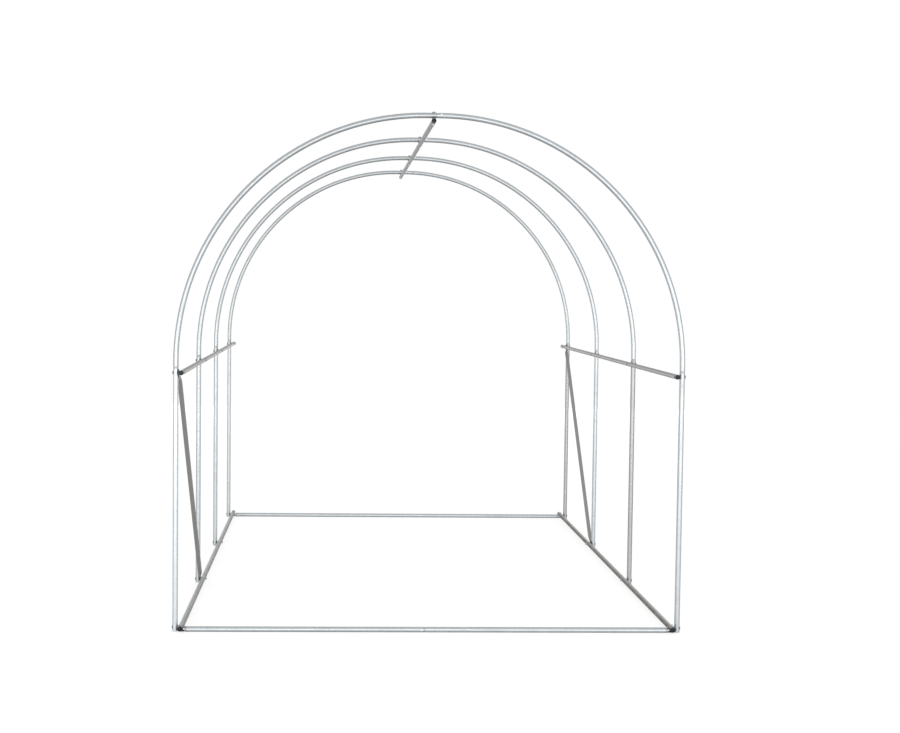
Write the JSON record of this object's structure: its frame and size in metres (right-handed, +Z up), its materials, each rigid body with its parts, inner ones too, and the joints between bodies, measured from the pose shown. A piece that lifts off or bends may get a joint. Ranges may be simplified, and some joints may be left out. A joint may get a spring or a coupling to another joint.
{
  "type": "polytunnel greenhouse frame",
  "caption": "Bare frame of a walk-in polytunnel greenhouse: round-topped steel tube hoops tied by a ridge purlin, side purlins, base rails and diagonal braces.",
  "frame": {"origin": "on the ground at the middle of the frame", "axes": "+Y along the tunnel from the front hoop to the back hoop, +X to the right seen from the front, +Z up"},
  "size_m": [2.01, 3.006, 2.0325],
  "materials": {
    "hoop_steel": "bright galvanised tube, satin",
    "rail_steel": "galvanised tube, duller and greyer",
    "bolt_zinc": "zinc plated",
    "cap_plastic": "black moulded plastic"
  },
  "bodies": {
    "root": {"left_leg_1": "hoop_steel", "left_leg_2": "hoop_steel", "left_leg_3": "hoop_steel", "left_leg_4": "hoop_steel", "right_leg_1": "hoop_steel", "right_leg_2": "hoop_steel", "right_leg_3": "hoop_steel", "right_leg_4": "hoop_steel", "left_arch_1": "hoop_steel", "left_arch_2": "hoop_steel", "left_arch_3": "hoop_steel", "left_arch_4": "hoop_steel", "right_arch_1": "hoop_steel", "right_arch_2": "hoop_steel", "right_arch_3": "hoop_steel", "right_arch_4": "hoop_steel", "ridge_purlin_front": "rail_steel", "ridge_purlin_middle": "rail_steel", "ridge_purlin_back": "rail_steel", "left_purlin_front": "rail_steel", "left_purlin_middle": "rail_steel", "left_purlin_back": "rail_steel", "right_purlin_front": "rail_steel", "right_purlin_middle": "rail_steel", "right_purlin_back": "rail_steel", "left_base_rail_front": "rail_steel", "left_base_rail_middle": "rail_steel", "left_base_rail_back": "rail_steel", "right_base_rail_front": "rail_steel", "right_base_rail_middle": "rail_steel", "right_base_rail_back": "rail_steel", "front_cross_rail_left": "hoop_steel", "front_cross_rail_right": "hoop_steel", "back_cross_rail_left": "hoop_steel", "back_cross_rail_right": "hoop_steel", "left_brace": "rail_steel", "right_brace": "rail_steel", "end_caps": "cap_plastic", "purlin_bolts": "bolt_zinc", "purlin_nuts": "bolt_zinc", "base_bolts": "bolt_zinc", "base_nuts": "bolt_zinc", "spacers": "bolt_zinc"}
  },
  "joints": []
}
